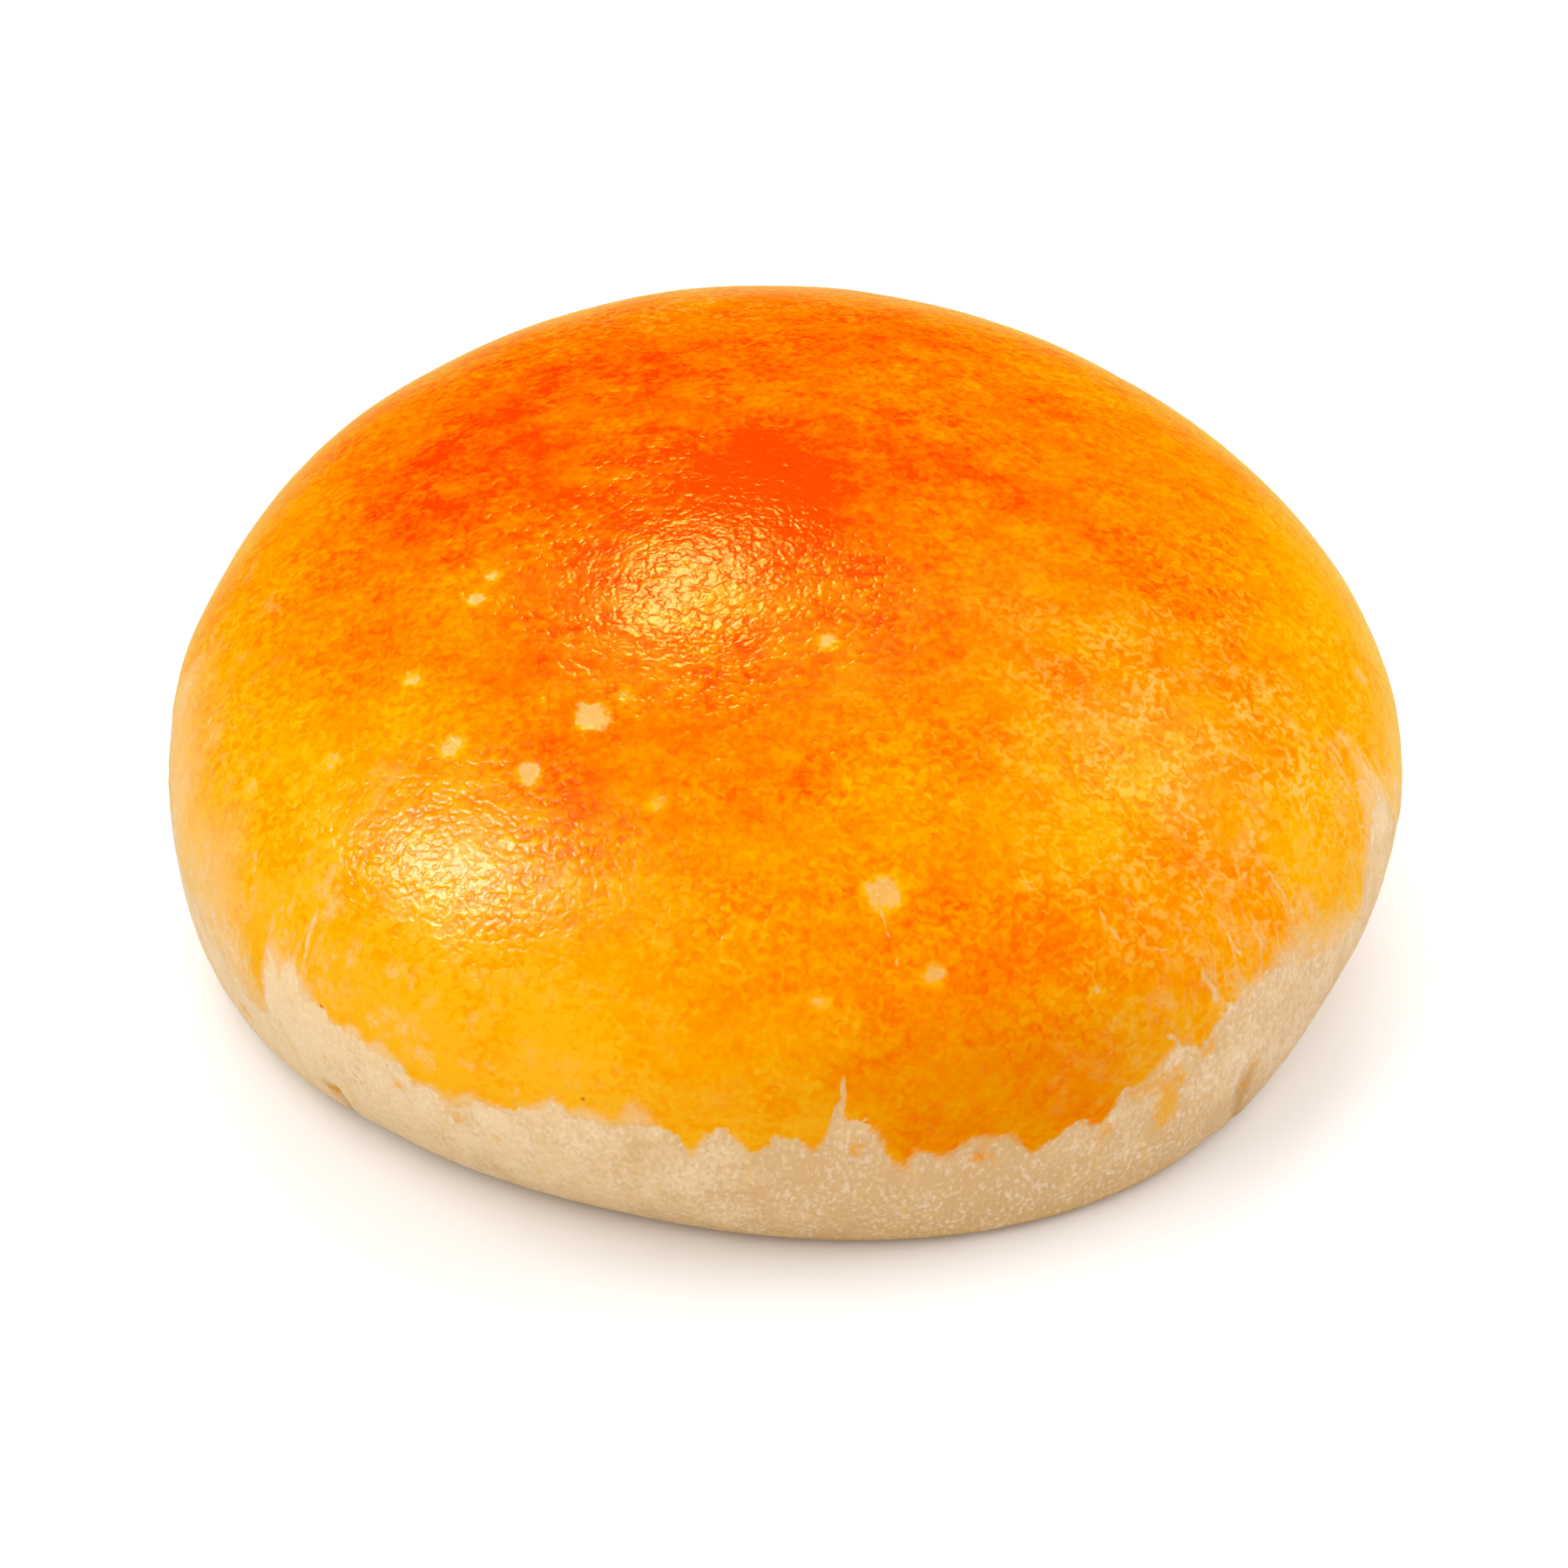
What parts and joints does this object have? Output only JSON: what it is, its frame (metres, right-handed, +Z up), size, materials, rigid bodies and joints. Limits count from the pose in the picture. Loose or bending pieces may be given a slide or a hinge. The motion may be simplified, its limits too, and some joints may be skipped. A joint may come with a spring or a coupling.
{
  "type": "potato bread bun",
  "caption": "Round soft potato bread bun with a glossy egg-washed browned crown over a pale matte flank, resting on a flat base.",
  "frame": {"origin": "middle of the bun's box at the level of its flat base", "axes": "+Z up from the base to the crown, -Y towards the side that the picture shows at the front"},
  "size_m": [0.0968, 0.0954, 0.04],
  "materials": {
    "crust": "glossy egg-washed crust, orange at the crown and yellow lower down, over a pale matte floury side"
  },
  "bodies": {
    "root": {"bun": "crust"}
  },
  "joints": []
}
